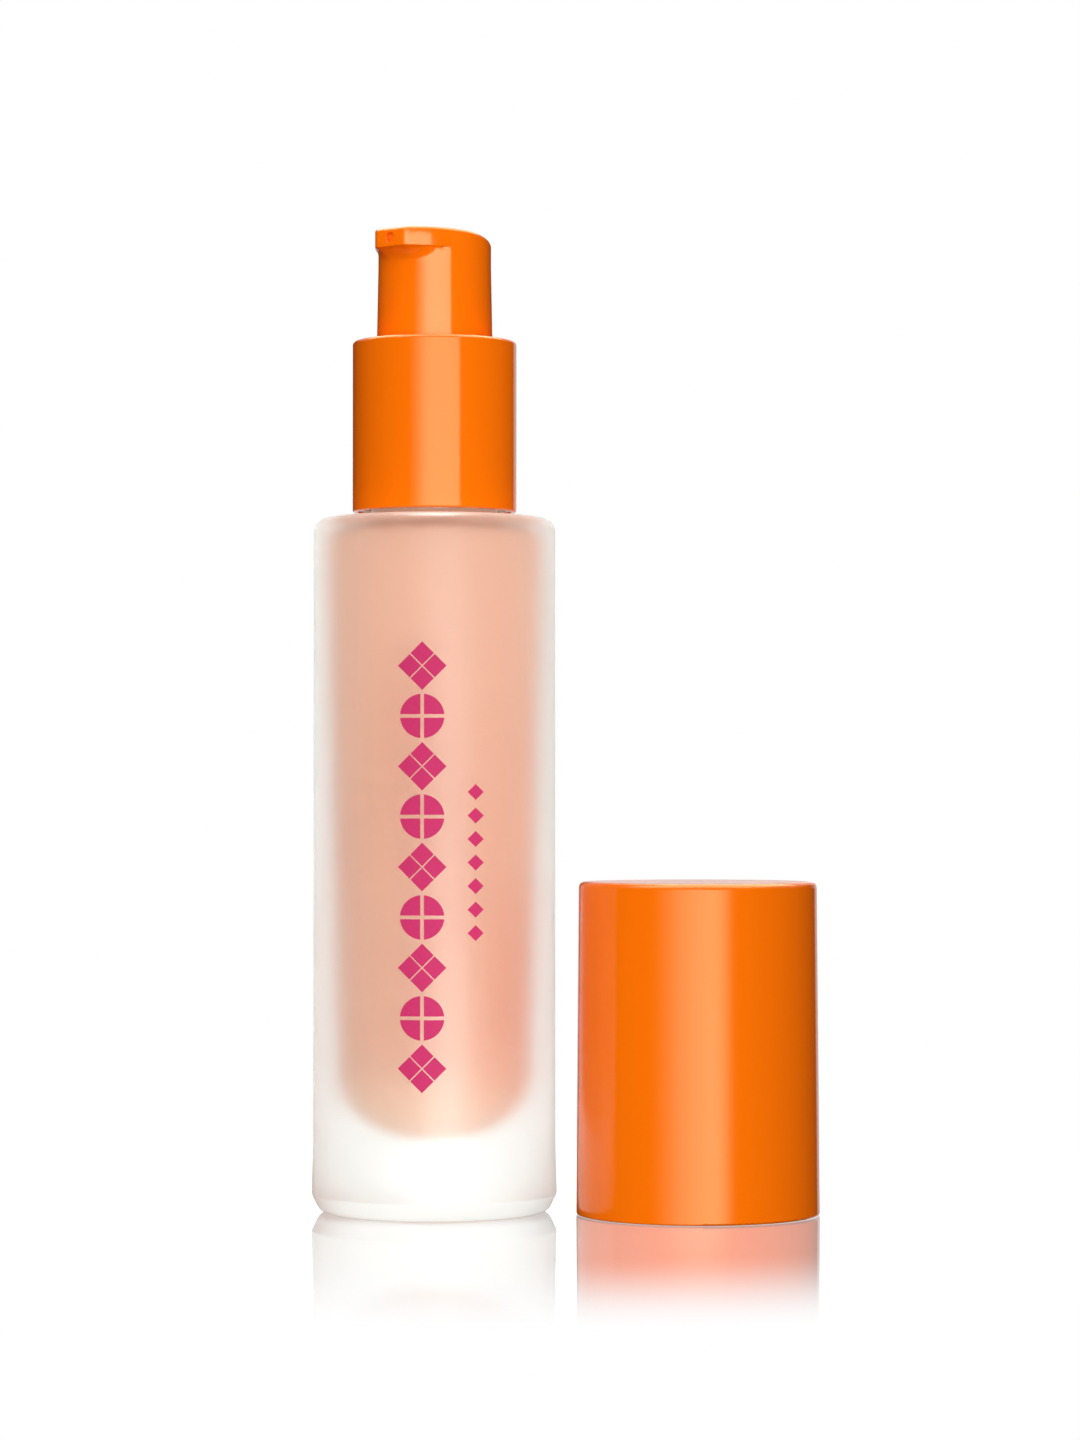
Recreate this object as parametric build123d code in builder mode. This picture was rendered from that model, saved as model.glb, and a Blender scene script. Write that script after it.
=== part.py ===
from build123d import *
import math
import os

# Foundation bottle with a screw-on treatment pump and a separate overcap.
# Millimetres, +Z up. The origin is the middle of the bottle's resting ring, the overcap stands at +X.

# ---------------------------------------------------------------- driving dimensions
# Bottle
body_radius = 17.0
heel_radius = 17.2
heel_top = 4.5
flare_top = 11.0
foot_ring_inner_radius = 12.6
foot_ring_outer_radius = 16.0
foot_rise = 2.5
push_up_radius = 11.5
push_up = 0.8
shoulder_height = 97.3
neck_height = 14.0
neck_radius = 8.9
neck_bore = 6.6
thread_crest_radius = 9.94
base_thickness = 10.4
cavity_foot_radius = 9.6
cavity_foot_rounding = 9.0
cavity_shoulder_radius = 11.0
cavity_shoulder_rounding = 2.2
cavity_shoulder_height = 94.6
cavity_roof_height = 95.8
fill_level = 101.0

# Thread of the neck finish: eight turns to the inch
thread_pitch = 25.4 / 8
thread_root_width = 1.25
thread_crest_width = 0.5
thread_sink = 0.2
neck_thread_start = 102.0
neck_thread_turns = 1.5
closure_thread_turns = 1.25

# Collar and closure
collar_radius = 11.55
collar_bottom = 98.2
collar_top = 122.2
collar_wall = 0.72
closure_bore = 10.15
closure_crest_radius = 9.2
deck_bottom = 113.5
deck_thickness = 1.3
deck_hole = 6.6
guide_bore = 8.65
guide_bottom = 116.4
guide_wall = 0.8
gasket_radius = 9.7
gasket_bore = 6.9
gasket_thickness = 1.0

# Pump engine
housing_radius = 5.0
housing_bore = 4.0
housing_flange_radius = 9.3
housing_flange_thickness = 1.2
socket_radius = 2.8
chamber_radius = 2.2
spring_seat_height = 86.0
ball_seat_height = 82.2
ball_radius = 3.175 / 2
dip_tube_radius = 1.6
dip_tube_bore = 1.1
dip_tube_bottom = 12.6
stem_radius = 2.5
stroke = 4.0

# Pump head
head_foot_radius = 8.2
head_top_radius = 7.95
head_foot = 119.6
head_top = 137.48
head_wall = 1.1
head_roof = 132.4
camber_radius = 42.0
camber_peak = 6.4
snout_turn = 36.5
snout_reach = 10.2
snout_width = 5.3
snout_corner = 1.3
lip_bottom = 134.7
scoop_bottom = 132.6
rim_rounding = 0.5
orifice_radius = 0.72
orifice_height = 136.0
post_radius = 3.7
post_bore = 1.0
post_recess = 0.3

# Overcap
cap_x = 36.9
cap_y = -3.7
cap_height = 46.3
cap_mouth_radius = 17.02
cap_crown_radius = 16.65
cap_wall = 1.5
cap_roof = 1.6
liner_bore = 11.65
liner_wall = 1.1
liner_foot = 1.0
liner_length = 25.0
liner_webs = 8

# Print on the glass
ink_gap = 0.03
ink_thickness = 0.08
print_bottom = 17.6
print_top = 79.5
print_centre = -1.25
print_width = 6.9
print_units = 9
print_slit = 0.5
small_marks = 7
small_bottom = 38.4
small_top = 59.9
small_centre = 6.05
small_size = 2.2

neck_top = shoulder_height + neck_height


# ---------------------------------------------------------------- shared shapes
def outline(points, rounds=(), axis_xy=(0, 0)):
    """Closed outline of (radius, height) points beside a vertical axis, with some corners rounded."""
    with BuildSketch(Plane(origin=(*axis_xy, 0), x_dir=(1, 0, 0), z_dir=(0, -1, 0))) as section:
        with BuildLine():
            Polyline(*points, close=True)
        make_face()
        for corner, radius in rounds:
            fillet(section.vertices().sort_by_distance(corner)[0], radius)
    return section.sketch


def thread_ridge(root_radius, crest_radius, start_height, turns):
    """Helical ridge whose root and crest lie at the two radii, starting at +X."""
    with BuildPart() as ridge:
        with BuildLine() as centre:
            Helix(thread_pitch, thread_pitch * turns, root_radius, center=(0, 0, start_height))
        rise = crest_radius - root_radius
        section_plane = Plane(origin=centre.line @ 0, x_dir=(1, 0, 0), z_dir=centre.line % 0)
        with BuildSketch(section_plane) as section:
            with BuildLine():
                Polyline(
                    (0, -thread_root_width / 2),
                    (rise, -thread_crest_width / 2),
                    (rise, thread_crest_width / 2),
                    (0, thread_root_width / 2),
                    close=True,
                )
            make_face()
        sweep(section.sketch, path=centre.line, is_frenet=True)
    return ridge.part


os.makedirs("parts", exist_ok=True)

# ---------------------------------------------------------------- bottle
# Thick-based glass cylinder with a resting ring, a squared shoulder and a threaded neck.
with BuildPart() as bottle_glass:
    revolve(
        outline(
            [
                (0, push_up),
                (push_up_radius, push_up),
                (foot_ring_inner_radius, 0),
                (foot_ring_outer_radius, 0),
                (heel_radius, foot_rise),
                (heel_radius, heel_top),
                (body_radius, flare_top),
                (body_radius, shoulder_height),
                (neck_radius, shoulder_height),
                (neck_radius, neck_top),
                (neck_bore, neck_top),
                (neck_bore, cavity_roof_height),
                (cavity_shoulder_radius, cavity_shoulder_height),
                (cavity_foot_radius, base_thickness),
                (0, base_thickness),
            ],
            rounds=[
                ((foot_ring_outer_radius, 0), 1.6),
                ((heel_radius, foot_rise), 0.4),
                ((heel_radius, heel_top), 12.0),
                ((body_radius, flare_top), 40.0),
                ((body_radius, shoulder_height), 1.9),
                ((neck_radius, shoulder_height), 0.5),
                ((neck_radius, neck_top), 0.4),
                ((neck_bore, cavity_roof_height), 0.8),
                ((cavity_shoulder_radius, cavity_shoulder_height), cavity_shoulder_rounding),
                ((cavity_foot_radius, base_thickness), cavity_foot_rounding),
            ],
        ),
        axis=Axis.Z,
    )
    add(thread_ridge(neck_radius - thread_sink, thread_crest_radius, neck_thread_start, neck_thread_turns))
bottle_glass.part.label = "bottle_glass"
export_step(bottle_glass.part, "parts/bottle_glass.step")

# The make-up that fills the cavity, open round the housing and the dip tube.
fill_gap = 0.05
fill_foot = base_thickness + fill_gap
fill_foot_radius = cavity_foot_radius - fill_gap
fill_foot_rounding = cavity_foot_rounding - fill_gap
fill_shoulder_radius = cavity_shoulder_radius - fill_gap
fill_shoulder_height = cavity_shoulder_height - fill_gap
fill_neck_radius = neck_bore - fill_gap
pump_clearance = 0.4
tube_clear_radius = dip_tube_radius + pump_clearance
housing_clear_radius = housing_radius + pump_clearance
housing_clear_bottom = 82.6
socket_clear_radius = 3.3
socket_clear_top = 79.4
socket_clear_bottom = 73.0
tube_clear_bottom = 12.0
with BuildPart() as foundation_fill:
    revolve(
        outline(
            [
                (tube_clear_radius, tube_clear_bottom),
                (0, tube_clear_bottom),
                (0, fill_foot),
                (fill_foot_radius, fill_foot),
                (fill_shoulder_radius, fill_shoulder_height),
                (fill_neck_radius, cavity_roof_height - fill_gap),
                (fill_neck_radius, fill_level),
                (housing_clear_radius, fill_level),
                (housing_clear_radius, housing_clear_bottom),
                (socket_clear_radius, socket_clear_top),
                (socket_clear_radius, socket_clear_bottom),
                (tube_clear_radius, socket_clear_bottom),
            ],
            rounds=[
                ((fill_foot_radius, fill_foot), fill_foot_rounding),
                ((fill_shoulder_radius, fill_shoulder_height), cavity_shoulder_rounding),
            ],
        ),
        axis=Axis.Z,
    )
foundation_fill.part.label = "foundation_fill"
export_step(foundation_fill.part, "parts/foundation_fill.step")

# Printed column: a plain geometric pattern of quartered discs and quartered lozenges up the glass,
# and a row of small lozenges beside it. Each mark is its own thin film of ink.
disc_space = 0.8
unit_pitch = (print_top - print_bottom) / print_units
disc_radius = (unit_pitch - disc_space) / 2
lozenge_radius = print_width / 4 - print_slit / 4
small_pitch = (small_top - small_bottom - small_size) / (small_marks - 1)
ink_radius = body_radius + ink_gap
with BuildPart() as printed_motif:
    with BuildSketch(Plane.XZ.offset(neck_bore)):
        for unit in range(print_units):
            middle = print_bottom + unit_pitch * (unit + 0.5)
            with Locations((print_centre, middle)):
                if unit % 2 == 0:
                    with PolarLocations(print_width / 4, 4):
                        RegularPolygon(lozenge_radius, 4)
                else:
                    Circle(disc_radius)
                    Rectangle(2 * disc_radius, print_slit, mode=Mode.SUBTRACT)
                    Rectangle(print_slit, 2 * disc_radius, mode=Mode.SUBTRACT)
        for mark in range(small_marks):
            with Locations((small_centre, small_bottom + small_size / 2 + small_pitch * mark)):
                RegularPolygon(small_size / 2, 4)
    extrude(amount=body_radius)
    Cylinder(ink_radius + ink_thickness, 2 * neck_top, mode=Mode.INTERSECT)
    Cylinder(ink_radius, 2 * neck_top, mode=Mode.SUBTRACT)
printed_motif.part.label = "printed_motif"
export_step(printed_motif.part, "parts/printed_motif.step")

# ---------------------------------------------------------------- closure and collar
# Foam washer between the neck's lip and the pump's flange.
with BuildPart() as neck_gasket:
    with BuildSketch(Plane.XY.offset(neck_top)):
        Circle(gasket_radius)
        Circle(gasket_bore, mode=Mode.SUBTRACT)
    extrude(amount=gasket_thickness)
neck_gasket.part.label = "neck_gasket"
export_step(neck_gasket.part, "parts/neck_gasket.step")

# Threaded inner closure with a holed deck that clamps the pump's flange.
closure_fit = 0.03
closure_recess = 0.3
closure_radius = collar_radius - collar_wall - closure_fit
closure_bottom = collar_bottom + closure_recess
deck_top = deck_bottom + deck_thickness
closure_thread_start = neck_thread_start - thread_pitch / 2 - thread_pitch / 4
with BuildPart() as screw_closure:
    revolve(
        outline(
            [
                (closure_bore, closure_bottom),
                (closure_radius, closure_bottom),
                (closure_radius, deck_top),
                (deck_hole, deck_top),
                (deck_hole, deck_bottom),
                (closure_bore, deck_bottom),
            ],
            rounds=[((closure_radius, deck_top), 0.3)],
        ),
        axis=Axis.Z,
    )
    ridge = thread_ridge(
        closure_bore + thread_sink, closure_crest_radius, closure_thread_start, closure_thread_turns
    )
    add(ridge.rotate(Axis.Z, -90))
screw_closure.part.label = "screw_closure"
export_step(screw_closure.part, "parts/screw_closure.step")

# Coloured sleeve over the closure, with a deck and a skirt that guide the pump head.
sleeve_deck = 1.2
sleeve_bore = collar_radius - collar_wall
sleeve_deck_bottom = collar_top - sleeve_deck
with BuildPart() as collar_sleeve:
    revolve(
        outline(
            [
                (sleeve_bore, collar_bottom),
                (collar_radius, collar_bottom),
                (collar_radius, collar_top),
                (guide_bore, collar_top),
                (guide_bore, guide_bottom),
                (guide_bore + guide_wall, guide_bottom),
                (guide_bore + guide_wall, sleeve_deck_bottom),
                (sleeve_bore, sleeve_deck_bottom),
            ],
            rounds=[
                ((collar_radius, collar_bottom), 0.25),
                ((collar_radius, collar_top), 0.5),
                ((guide_bore, collar_top), 0.3),
            ],
        ),
        axis=Axis.Z,
    )
collar_sleeve.part.label = "collar_sleeve"
export_step(collar_sleeve.part, "parts/collar_sleeve.step")

# ---------------------------------------------------------------- pump engine
flange_bottom = neck_top + gasket_thickness
flange_top = flange_bottom + housing_flange_thickness
seat_floor = 1.2
socket_depth = 7.0
tube_fit = 0.02
housing_taper = 0.5
socket_top = ball_seat_height - seat_floor
socket_bottom = socket_top - socket_depth
socket_bore = dip_tube_radius + tube_fit
seat_top = ball_seat_height + chamber_radius - dip_tube_bore
taper_top = seat_top + 0.2
with BuildPart() as pump_housing:
    revolve(
        outline(
            [
                (housing_bore, flange_top),
                (housing_flange_radius, flange_top),
                (housing_flange_radius, flange_bottom),
                (housing_radius, flange_bottom),
                (housing_radius, taper_top),
                (socket_radius, socket_top - housing_taper),
                (socket_radius, socket_bottom),
                (socket_bore, socket_bottom),
                (socket_bore, socket_top),
                (dip_tube_bore, socket_top),
                (dip_tube_bore, ball_seat_height),
                (chamber_radius, seat_top),
                (chamber_radius, spring_seat_height),
                (housing_bore, spring_seat_height),
            ],
            rounds=[((housing_radius, taper_top), 0.8), ((socket_radius, socket_bottom), 0.4)],
        ),
        axis=Axis.Z,
    )
pump_housing.part.label = "pump_housing"
export_step(pump_housing.part, "parts/pump_housing.step")

# Guide ring that closes the housing and centres the stem.
ring_foot = 107.5
ring_top = 115.0
ring_radius = 6.2
ring_clearance = 0.3
insert_fit = 0.04
ring_bore = stem_radius + ring_clearance
insert_radius = housing_bore - insert_fit
with BuildPart() as retaining_ring:
    revolve(
        outline(
            [
                (ring_bore, ring_foot),
                (insert_radius, ring_foot),
                (insert_radius, flange_top),
                (ring_radius, flange_top),
                (ring_radius, ring_top),
                (ring_bore, ring_top),
            ],
            rounds=[((ring_radius, ring_top), 0.4)],
        ),
        axis=Axis.Z,
    )
retaining_ring.part.label = "retaining_ring"
export_step(retaining_ring.part, "parts/retaining_ring.step")

# Dip tube, cut on the slant at its foot.
slant_reach = dip_tube_radius + 0.4
slant_top = dip_tube_bottom + 2.2
tube_top = socket_top - 0.1
with BuildPart() as dip_tube:
    with BuildSketch(Plane.XY.offset(dip_tube_bottom)):
        Circle(dip_tube_radius)
        Circle(dip_tube_bore, mode=Mode.SUBTRACT)
    extrude(amount=tube_top - dip_tube_bottom)
    with BuildSketch(Plane.XZ):
        with BuildLine():
            Polyline(
                (-slant_reach, dip_tube_bottom - 1),
                (slant_reach, dip_tube_bottom - 1),
                (slant_reach, slant_top),
                close=True,
            )
        make_face()
    extrude(amount=slant_reach, both=True, mode=Mode.SUBTRACT)
dip_tube.part.label = "dip_tube"
export_step(dip_tube.part, "parts/dip_tube.step")

# Steel ball that closes the inlet, resting on the conical seat.
ball_lift_room = 0.03
ball_centre = ball_seat_height + (ball_radius * 2**0.5 - dip_tube_bore) + ball_lift_room
with BuildPart() as inlet_ball:
    with Locations((0, 0, ball_centre)):
        Sphere(ball_radius)
inlet_ball.part.label = "inlet_ball"
export_step(inlet_ball.part, "parts/inlet_ball.step")

# Slotted disc that keeps the ball in its chamber and carries the spring.
retainer_thickness = 1.0
slot_length = 4.2
slot_width = 0.8
retainer_top = spring_seat_height + retainer_thickness
with BuildPart() as ball_retainer:
    with BuildSketch(Plane.XY.offset(spring_seat_height)):
        Circle(insert_radius)
        Circle(dip_tube_bore, mode=Mode.SUBTRACT)
        Rectangle(slot_length, slot_width, mode=Mode.SUBTRACT)
        Rectangle(slot_width, slot_length, mode=Mode.SUBTRACT)
    extrude(amount=retainer_thickness)
ball_retainer.part.label = "ball_retainer"
export_step(ball_retainer.part, "parts/ball_retainer.step")

# Compression spring between the retainer and the stem's flange.
stem_flange_bottom = 99.0
wire_radius = 0.35
coil_radius = 2.9
coil_turns = 6
spring_end_gap = 0.03
coil_start = retainer_top + wire_radius + spring_end_gap
coil_height = stem_flange_bottom - wire_radius - spring_end_gap - coil_start
with BuildPart() as return_spring:
    with BuildLine() as coil:
        Helix(coil_height / coil_turns, coil_height, coil_radius, center=(0, 0, coil_start))
    with BuildSketch(Plane(origin=coil.line @ 0, z_dir=coil.line % 0)) as wire:
        Circle(wire_radius)
    sweep(wire.sketch, path=coil.line, is_frenet=True)
return_spring.part.label = "return_spring"
export_step(return_spring.part, "parts/return_spring.step")

# ---------------------------------------------------------------- moving pump parts
# Valve stem: spring spigot, flange, ported tube.
valve_radius = 1.45
valve_bore = 0.8
valve_foot = 95.5
valve_top = 114.5
stem_flange_radius = 3.3
stem_flange_top = stem_flange_bottom + 1.2
port_radius = 0.35
port_height = stem_flange_top + port_radius + 0.07
with BuildPart() as lower_stem:
    revolve(
        outline(
            [
                (0, valve_foot),
                (valve_radius, valve_foot),
                (valve_radius, stem_flange_bottom),
                (stem_flange_radius, stem_flange_bottom),
                (stem_flange_radius, stem_flange_top),
                (valve_radius, stem_flange_top),
                (valve_radius, valve_top),
                (valve_bore, valve_top),
                (valve_bore, stem_flange_top),
                (0, stem_flange_top),
            ],
            rounds=[((valve_radius, valve_foot), 0.4)],
        ),
        axis=Axis.Z,
    )
    with BuildSketch(Plane.XZ):
        with Locations((0, port_height)):
            Circle(port_radius)
    extrude(amount=2 * valve_radius, both=True, mode=Mode.SUBTRACT)
lower_stem.part.label = "lower_stem"
export_step(lower_stem.part, "parts/lower_stem.step")

# Piston with a hub on the valve stem and two lips on the housing bore.
piston_clearance = 0.08
hub_radius = 2.4
hub_bore = valve_radius + piston_clearance
hub_bottom = stem_flange_top + 0.05
hub_top = 108.2
web_bottom = 103.2
web_top = 104.6
lip_reach = 2.0
lip_root = 0.6
lip_edge = 0.35
lip_waist = 0.12
lip_radius = housing_bore - piston_clearance
lip_root_radius = lip_radius - lip_root
lip_edge_radius = lip_radius - lip_edge
lip_waist_radius = lip_radius - lip_waist
with BuildPart() as piston:
    revolve(
        outline(
            [
                (hub_bore, hub_bottom),
                (hub_radius, hub_bottom),
                (hub_radius, web_bottom),
                (lip_root_radius, web_bottom),
                (lip_edge_radius, web_bottom - lip_reach),
                (lip_radius, web_bottom - lip_reach),
                (lip_waist_radius, (web_bottom + web_top) / 2),
                (lip_radius, web_top + lip_reach),
                (lip_edge_radius, web_top + lip_reach),
                (lip_root_radius, web_top),
                (hub_radius, web_top),
                (hub_radius, hub_top),
                (hub_bore, hub_top),
            ]
        ),
        axis=Axis.Z,
    )
piston.part.label = "piston"
export_step(piston.part, "parts/piston.step")

# Hollow upper stem that carries the head.
upper_stem_bottom = 109.0
upper_stem_top = 124.6
upper_stem_bore = 1.0
stem_fit = 0.05
valve_socket_radius = valve_radius + stem_fit
valve_socket_top = valve_top + 0.5
with BuildPart() as upper_stem:
    revolve(
        outline(
            [
                (valve_socket_radius, upper_stem_bottom),
                (stem_radius, upper_stem_bottom),
                (stem_radius, upper_stem_top),
                (upper_stem_bore, upper_stem_top),
                (upper_stem_bore, valve_socket_top),
                (valve_socket_radius, valve_socket_top),
            ],
            rounds=[((stem_radius, upper_stem_top), 0.3)],
        ),
        axis=Axis.Z,
    )
upper_stem.part.label = "upper_stem"
export_step(upper_stem.part, "parts/upper_stem.step")

# ---------------------------------------------------------------- pump head
# Tapered button with a cambered top that runs out into a short square-ended snout. The snout's
# flanks are tangent to the button, and its underside slopes back into the button's side.
snout_frame = Plane(origin=(0, 0, 0), x_dir=Vector(1, 0, 0).rotate(Axis.Z, -snout_turn), z_dir=(0, 0, 1))
corner_angle = math.degrees(math.atan2(snout_width / 2, snout_reach))
corner_distance = math.hypot(snout_width / 2, snout_reach)
tangent_angle = corner_angle + math.degrees(math.acos(head_top_radius / corner_distance))
corner_share = 3.0
stem_socket_top = upper_stem_top + 0.1


def snout_outline(height):
    """Outline of the button and its snout at a height."""
    with BuildSketch(snout_frame.offset(height)) as plan:
        Circle(head_top_radius)
        with Locations((0, -snout_reach / 2)):
            Rectangle(snout_width, snout_reach)
        make_hull()
        fillet(plan.vertices().sort_by_distance((0, -snout_reach, 0))[:2], snout_corner)
    return plan.sketch


def button_outline(height):
    """The button's circle at a height, in one arc for each edge of the snout's outline."""
    stops = [
        -tangent_angle,
        -corner_angle - corner_share,
        -corner_angle + corner_share,
        corner_angle - corner_share,
        corner_angle + corner_share,
        tangent_angle,
        360 - tangent_angle,
    ]
    with BuildSketch(snout_frame.offset(height)) as plan:
        with BuildLine():
            for start, end in zip(stops, stops[1:]):
                CenterArc((0, 0), head_top_radius, start - 90, end - start)
        make_face()
    return plan.sketch


with BuildPart() as actuator:
    lip = snout_outline(lip_bottom)
    extrude(lip, amount=head_top - lip_bottom + 1)
    loft([button_outline(scoop_bottom), lip], ruled=True)
    with BuildSketch(Plane(origin=(0, 0, 0), x_dir=snout_frame.y_dir, z_dir=snout_frame.x_dir)):
        with Locations((-camber_peak, head_top - camber_radius)):
            Circle(camber_radius)
    extrude(amount=2 * snout_reach, both=True, mode=Mode.INTERSECT)
    fillet(actuator.faces().sort_by(Axis.Z)[-1].edges(), rim_rounding)
    revolve(
        outline([(0, head_foot), (head_foot_radius, head_foot), (head_top_radius, scoop_bottom),
                 (0, scoop_bottom)]),
        axis=Axis.Z,
    )
    # Hollow skirt with a central post that takes the stem
    with BuildSketch(Plane.XY.offset(head_foot)):
        Circle(head_foot_radius - head_wall)
        Circle(post_radius, mode=Mode.SUBTRACT)
    extrude(amount=head_roof - head_foot, mode=Mode.SUBTRACT)
    with BuildSketch(Plane.XY.offset(head_foot)):
        Circle(post_radius)
    extrude(amount=post_recess, mode=Mode.SUBTRACT)
    with BuildSketch(Plane.XY.offset(head_foot)):
        Circle(stem_radius + stem_fit)
    extrude(amount=stem_socket_top - head_foot, mode=Mode.SUBTRACT)
    # Product channel: up the post and out through the snout
    with BuildSketch(Plane.XY.offset(head_foot)):
        Circle(post_bore)
    extrude(amount=orifice_height - head_foot, mode=Mode.SUBTRACT)
    with BuildSketch(Plane(origin=(0, 0, orifice_height), x_dir=snout_frame.x_dir, z_dir=-snout_frame.y_dir)):
        Circle(orifice_radius)
    extrude(amount=snout_reach + 1, mode=Mode.SUBTRACT)
actuator.part.label = "actuator"
export_step(actuator.part, "parts/actuator.step")

# ---------------------------------------------------------------- overcap
# It stands on its mouth beside the bottle.
cap_axis = Axis((cap_x, cap_y, 0), (0, 0, 1))
shell_bore = cap_mouth_radius - cap_wall
crown_bore = cap_crown_radius - cap_wall
roof_bottom = cap_height - cap_roof
with BuildPart() as overcap_shell:
    revolve(
        outline(
            [
                (shell_bore, 0),
                (cap_mouth_radius, 0),
                (cap_crown_radius, cap_height),
                (0, cap_height),
                (0, roof_bottom),
                (crown_bore, roof_bottom),
            ],
            rounds=[
                ((cap_mouth_radius, 0), 0.3),
                ((shell_bore, 0), 0.3),
                ((cap_crown_radius, cap_height), 0.8),
                ((crown_bore, roof_bottom), 1.0),
            ],
            axis_xy=(cap_x, cap_y),
        ),
        axis=cap_axis,
    )
overcap_shell.part.label = "overcap_shell"
export_step(overcap_shell.part, "parts/overcap_shell.step")

# Inner sleeve that grips the collar, held in the shell by its flange, with stiffening webs.
liner_fit = 0.06
web_gap = 0.2
web_setback = 4.0
web_thickness = 1.0
liner_radius = liner_bore + liner_wall
liner_flange_radius = shell_bore - liner_fit
liner_flange_top = liner_foot + liner_wall
web_span = crown_bore - liner_radius - web_gap
with BuildPart() as overcap_liner:
    revolve(
        outline(
            [
                (liner_bore, liner_foot),
                (liner_flange_radius, liner_foot),
                (liner_flange_radius, liner_flange_top),
                (liner_radius, liner_flange_top),
                (liner_radius, liner_foot + liner_length),
                (liner_bore, liner_foot + liner_length),
            ],
            rounds=[((liner_bore, liner_foot), 0.5)],
            axis_xy=(cap_x, cap_y),
        ),
        axis=cap_axis,
    )
    with BuildSketch(Plane((cap_x, cap_y, liner_flange_top))):
        with PolarLocations((liner_radius + crown_bore) / 2 - web_gap, liner_webs):
            Rectangle(web_span, web_thickness)
    extrude(amount=liner_length - web_setback)
overcap_liner.part.label = "overcap_liner"
export_step(overcap_liner.part, "parts/overcap_liner.step")
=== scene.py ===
import math
import bmesh
import bpy
from mathutils import Matrix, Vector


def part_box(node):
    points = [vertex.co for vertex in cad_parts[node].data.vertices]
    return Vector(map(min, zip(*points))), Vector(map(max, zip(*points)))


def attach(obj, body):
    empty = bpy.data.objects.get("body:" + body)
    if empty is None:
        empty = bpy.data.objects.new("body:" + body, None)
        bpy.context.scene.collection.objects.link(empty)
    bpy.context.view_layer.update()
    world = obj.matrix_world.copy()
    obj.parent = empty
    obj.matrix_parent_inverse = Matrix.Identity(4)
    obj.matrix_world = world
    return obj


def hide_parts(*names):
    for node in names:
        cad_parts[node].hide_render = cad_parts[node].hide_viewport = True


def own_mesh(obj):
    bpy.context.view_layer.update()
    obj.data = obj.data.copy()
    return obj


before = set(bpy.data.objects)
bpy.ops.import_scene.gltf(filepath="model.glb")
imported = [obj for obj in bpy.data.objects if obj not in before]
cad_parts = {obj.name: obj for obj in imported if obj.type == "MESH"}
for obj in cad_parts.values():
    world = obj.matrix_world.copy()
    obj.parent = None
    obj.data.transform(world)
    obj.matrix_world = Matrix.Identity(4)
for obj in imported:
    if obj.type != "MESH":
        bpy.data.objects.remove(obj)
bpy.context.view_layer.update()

# Foundation bottle with a treatment pump and its overcap beside it. Metres, in the CAD frame:
# +Z up, the bottle's axis at the origin, the printed front towards -Y, the overcap at +X.

MM = 0.001
AROUND = 192
ON_AXIS = 1e-7


# ---------------------------------------------------------------- sizes read from the frame
def extent(node):
    """(radius in plan, lowest height, highest height) of a round CAD node."""
    low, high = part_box(node)
    return (high.x - low.x) / 2, low.z, high.z


def centre_of(node):
    """The middle of a CAD node in plan."""
    low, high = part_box(node)
    return (low.x + high.x) / 2, (low.y + high.y) / 2


HEEL_RADIUS, _, NECK_TOP = extent("bottle_glass")
_, COLLAR_BOTTOM, _ = extent("collar_sleeve")
_, HEAD_FOOT, HEAD_TOP = extent("actuator")
SPRING_RADIUS, SPRING_FOOT, SPRING_TOP = extent("return_spring")
BODY_RADIUS = HEEL_RADIUS - 0.2 * MM
SHOULDER = COLLAR_BOTTOM - 0.9 * MM

# Glass, with its foot, neck, cavity and thread
FOOT_RADIUS = 16.0 * MM
FOOT_RISE = 2.5 * MM
FOOT_ROUNDING = 1.6 * MM
EDGE_ROUNDING = 0.35 * MM
FLARE_RISE = 8.5 * MM
PUSH_UP = 0.8 * MM
PUSH_UP_MIDDLE = 6.0 * MM
PUSH_UP_RADIUS = 11.2 * MM
FOOT_RING_INNER_RADIUS = 12.9 * MM
FOOT_RING_ROUNDING = 0.5 * MM
SHOULDER_ROUNDING = 1.9 * MM
NECK_FILLET = 0.5 * MM
NECK_LIP_ROUNDING = 0.4 * MM
NECK_RADIUS = 8.9 * MM
NECK_BORE = 6.6 * MM
CAVITY_FOOT_RADIUS = 9.6 * MM
CAVITY_FOOT_ROUNDING = 9.0 * MM
CAVITY_FLOOR = 10.4 * MM
CAVITY_SHOULDER_RADIUS = 11.0 * MM
CAVITY_SHOULDER_ROUNDING = 2.2 * MM
CAVITY_SHOULDER = 95.5 * MM
CAVITY_ROOF = 96.2 * MM
THREAD_PITCH = 25.4 / 8 * MM
THREAD_START = 102.0 * MM
THREAD_TURNS = 1.5
THREAD_ROOT = NECK_RADIUS - 0.2 * MM
THREAD_CREST = 9.94 * MM
THREAD_CREST_ROUNDING = 0.2 * MM
THREAD_HALF_ROOT = 0.62 * MM
THREAD_HALF_CREST = 0.32 * MM

# Make-up, open round the pump and the dip tube
FILM = 0.03 * MM
FILL_LEVEL = 101.0 * MM
PUMP_CLEAR = 5.4 * MM
PUMP_CLEAR_FOOT = 82.6 * MM
SOCKET_CLEAR = 3.3 * MM
SOCKET_CLEAR_TOP = 79.4 * MM
SOCKET_CLEAR_FOOT = 73.0 * MM
TUBE_CLEAR = 2.0 * MM
TUBE_CLEAR_FOOT = 12.0 * MM
# Height from which the make-up's foot gets painted light, for light coming up through the glass base
PAINTED_LIGHT_TOP = 26.0 * MM

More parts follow.
